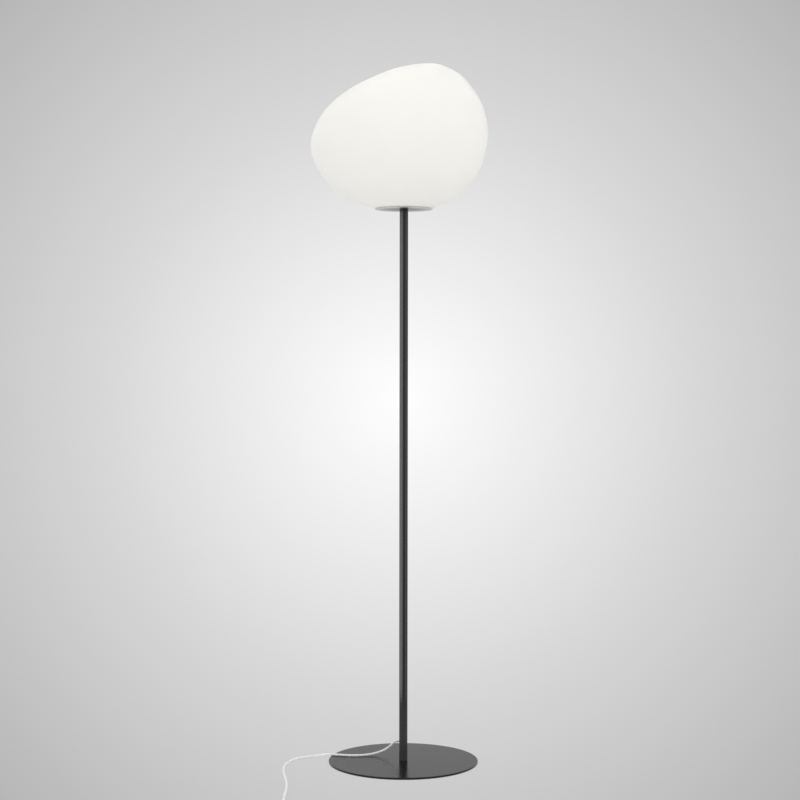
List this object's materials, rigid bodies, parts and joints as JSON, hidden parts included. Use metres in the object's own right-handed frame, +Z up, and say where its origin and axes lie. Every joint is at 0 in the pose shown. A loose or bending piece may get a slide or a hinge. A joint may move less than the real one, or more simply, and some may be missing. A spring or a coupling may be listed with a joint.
{
  "type": "floor lamp",
  "caption": "Floor lamp: a lopsided pebble-shaped opal glass shade on a thin metal dish, a slim straight pole and a flat round foot plate, with a foot switch on its cord.",
  "frame": {"origin": "centre of the foot felt's underside, on the floor straight below the pole", "axes": "+Z up along the pole, -Y towards the viewer, +X to the viewer's right, where the shade bulges up"},
  "size_m": [0.5292, 0.773, 1.82],
  "materials": {
    "felt_black": "matt pressed felt",
    "satin_black_paint": "satin powder coat",
    "dish_metal": "satin",
    "opal_glass": "satin opal",
    "steel": "zinc plated",
    "white_paint": "gloss",
    "clear_plastic": "milky, slightly see-through",
    "silicone": "matt",
    "white_plastic": "satin moulded",
    "button_plastic": "satin moulded",
    "porcelain": "unglazed",
    "brass": "satin",
    "bulb_cap_metal": "satin",
    "black_insulator": "matt",
    "bulb_opal": "satin opal",
    "board_aluminium": "matt",
    "lead_insulation": "gloss"
  },
  "bodies": {
    "stand": {"base_locating_pin": "steel", "base_plate": "satin_black_paint", "base_screw": "steel", "clip_screws": "steel", "cord_bushing": "clear_plastic", "cord_coil": "clear_plastic", "cord_link": "clear_plastic", "cord_run": "clear_plastic", "cord_tail": "clear_plastic", "cord_tie": "white_plastic", "dish_nut": "steel", "dish_washer": "steel", "floor_felt": "felt_black", "lampholder_body": "white_plastic", "lampholder_cap": "white_plastic", "lampholder_contact": "brass", "lampholder_insert": "porcelain", "lampholder_screw_shell": "brass", "lampholder_terminals": "brass", "lead_wires": "lead_insulation", "neck_clips": "steel", "plug_body": "white_plastic", "plug_boot": "white_plastic", "plug_pin_sleeves": "black_insulator", "plug_pins": "brass", "pole_cable": "clear_plastic", "pole_foot_slug": "steel", "pole_head_bush": "steel", "pole_tube": "satin_black_paint", "riser_sleeve": "white_paint", "shade_dish": "dish_metal", "switch_base": "white_plastic", "switch_block": "black_insulator", "switch_boots": "white_plastic", "switch_cover": "white_plastic", "switch_feet": "silicone", "switch_leads": "lead_insulation", "switch_screws": "steel", "switch_spring": "steel", "threaded_nipple": "steel"},
    "shade_seat": {"dish_gasket": "silicone"},
    "shade": {"glass_shade": "opal_glass"},
    "bulb_carrier": {"bulb_tip": "brass"},
    "bulb": {"bulb_insulator": "black_insulator", "bulb_cap": "bulb_cap_metal", "bulb_collar": "white_plastic", "bulb_led_board": "board_aluminium", "bulb_globe": "bulb_opal"},
    "switch_button": {"switch_button": "button_plastic"}
  },
  "joints": [
    {"name": "shade_turn", "type": "hinge", "parent": "stand", "child": "shade_seat", "pos_m": [0, 0, 1.4455], "axis": [0, 0, 1], "continuous": true},
    {"name": "shade_lift", "type": "slide", "parent": "shade_seat", "child": "shade", "axis": [0, 0, 1], "range_m": [0, 0.26]},
    {"name": "bulb_rise", "type": "slide", "parent": "stand", "child": "bulb_carrier", "axis": [0, 0, 1], "range_m": [0, 0.0091]},
    {"name": "bulb_unscrew", "type": "hinge", "parent": "bulb_carrier", "child": "bulb", "pos_m": [0, 0, 1.5561], "axis": [0, 0, 1], "range_deg": [0, 900]},
    {"name": "switch_press", "type": "slide", "parent": "stand", "child": "switch_button", "axis": [0, 0, -1], "range_m": [0, 0.003], "stiffness_N_per_m": 900, "springref_m": -0.001, "deforming": ["switch_spring"]}
  ],
  "couplings": [
    {"joint": "bulb_rise", "follows": "bulb_unscrew", "m_per_rad": 0.00057614}
  ]
}
